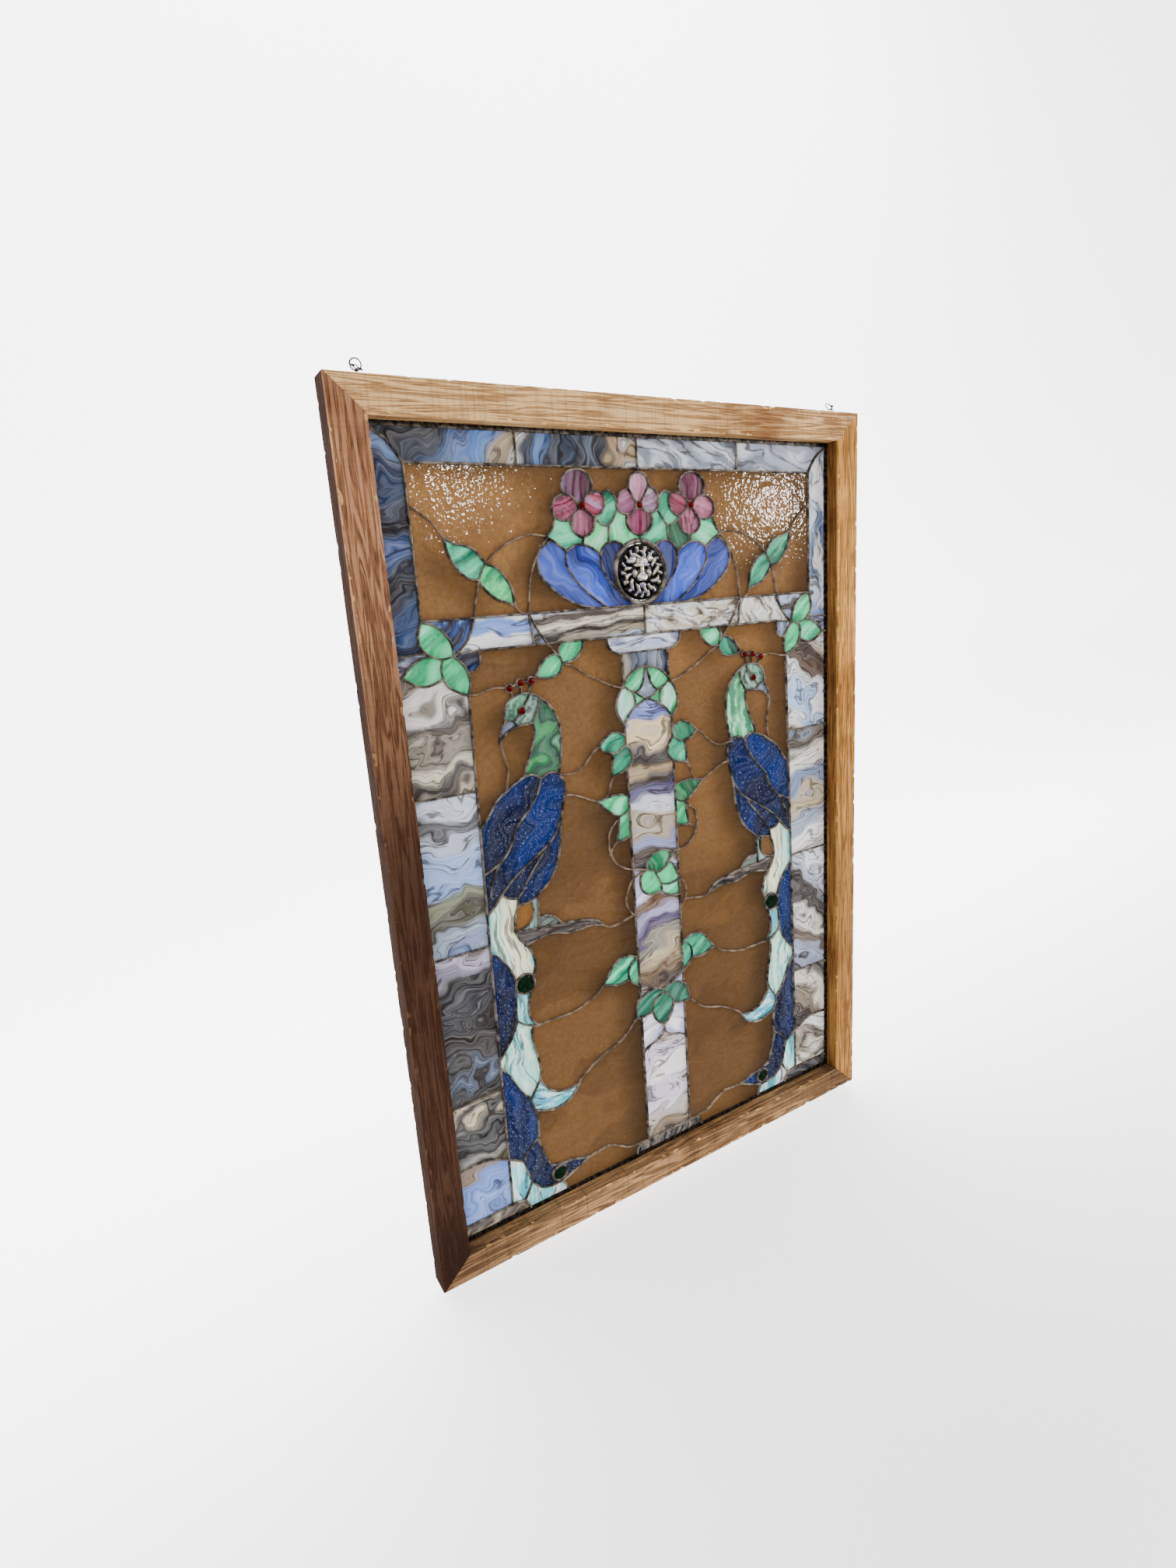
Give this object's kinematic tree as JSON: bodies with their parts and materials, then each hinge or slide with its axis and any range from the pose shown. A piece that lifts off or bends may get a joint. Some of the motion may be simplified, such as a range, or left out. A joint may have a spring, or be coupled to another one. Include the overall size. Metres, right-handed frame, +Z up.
{
  "type": "stained glass window",
  "caption": "Framed stained glass panel of two facing birds and a leafy column in textured amber glass, hung from two wire rings.",
  "frame": {"origin": "halfway between the centres of the two screw eyes in the top edge of the wooden frame, by which the window hangs", "axes": "+X to the right along the top rail, +Y away through the panel to its back, +Z up; the front of the glass faces -Y"},
  "size_m": [0.9, 0.038, 1.306],
  "materials": {
    "wood": "rough old boards, worn, dull",
    "zinc": "dull grey channel",
    "solder": "aged pewter-brown solder, uneven, half gloss",
    "pewter": "dark cast relief with iridescent glints",
    "dark_green_glass": "near-black green nugget, glossy",
    "amber_glass": "hammered amber, glossy",
    "streaky_glass": "opalescent blue, white and brown streaks",
    "cobalt_glass": "cobalt with pale flecks",
    "aqua_glass": "opalescent cream, aqua and cobalt",
    "brown_glass": "pale aqua and dark brown-grey streaks",
    "green_glass": "opalescent mint to green streaks",
    "violet_glass": "periwinkle to navy streaks",
    "rose_glass": "opalescent rose to maroon streaks",
    "steel": "dark wire, worn bright on the high spots"
  },
  "bodies": {
    "root": {"amber_flower_gap_left": "amber_glass", "amber_flower_gap_right": "amber_glass", "amber_lower_left": "amber_glass", "amber_lower_right": "amber_glass", "amber_upper_left": "amber_glass", "amber_upper_right": "amber_glass", "border_side_lower_left": "streaky_glass", "border_side_lower_right": "streaky_glass", "border_side_upper_left": "streaky_glass", "border_side_upper_right": "streaky_glass", "border_top": "streaky_glass", "bouquet_leaves": "green_glass", "column_capital": "streaky_glass", "column_foot": "streaky_glass", "column_foot_leaves_left": "green_glass", "column_foot_leaves_right": "green_glass", "column_lower_leaves": "green_glass", "column_middle_leaves": "green_glass", "column_shaft": "streaky_glass", "column_side_leaves_left": "green_glass", "column_side_leaves_right": "green_glass", "column_upper_leaves_left": "green_glass", "column_upper_leaves_right": "green_glass", "column_wreath": "green_glass", "corner_leaves_left": "green_glass", "corner_leaves_right": "green_glass", "crest_leaves_left": "green_glass", "crest_leaves_right": "green_glass", "cross_band": "streaky_glass", "flower_left": "rose_glass", "flower_middle": "rose_glass", "flower_right": "rose_glass", "frame_bottom_rail": "wood", "frame_left_stile": "wood", "frame_right_stile": "wood", "frame_top_rail": "wood", "glass_nugget_lower_left": "dark_green_glass", "glass_nugget_lower_right": "dark_green_glass", "glass_nugget_upper_left": "dark_green_glass", "glass_nugget_upper_right": "dark_green_glass", "lion_medallion": "pewter", "lotus_left": "violet_glass", "lotus_right": "violet_glass", "peacock_body_left": "cobalt_glass", "peacock_body_right": "cobalt_glass", "peacock_leg_and_branch_left": "brown_glass", "peacock_leg_and_branch_right": "brown_glass", "peacock_neck_left": "green_glass", "peacock_neck_right": "green_glass", "peacock_tail_left": "aqua_glass", "peacock_tail_right": "aqua_glass", "ring_and_links_left": "steel", "ring_and_links_right": "steel", "screw_eye_left": "steel", "screw_eye_right": "steel", "solder_lines": "solder", "vine_leaves_left": "green_glass", "vine_leaves_right": "green_glass", "zinc_came": "zinc"}
  },
  "joints": []
}
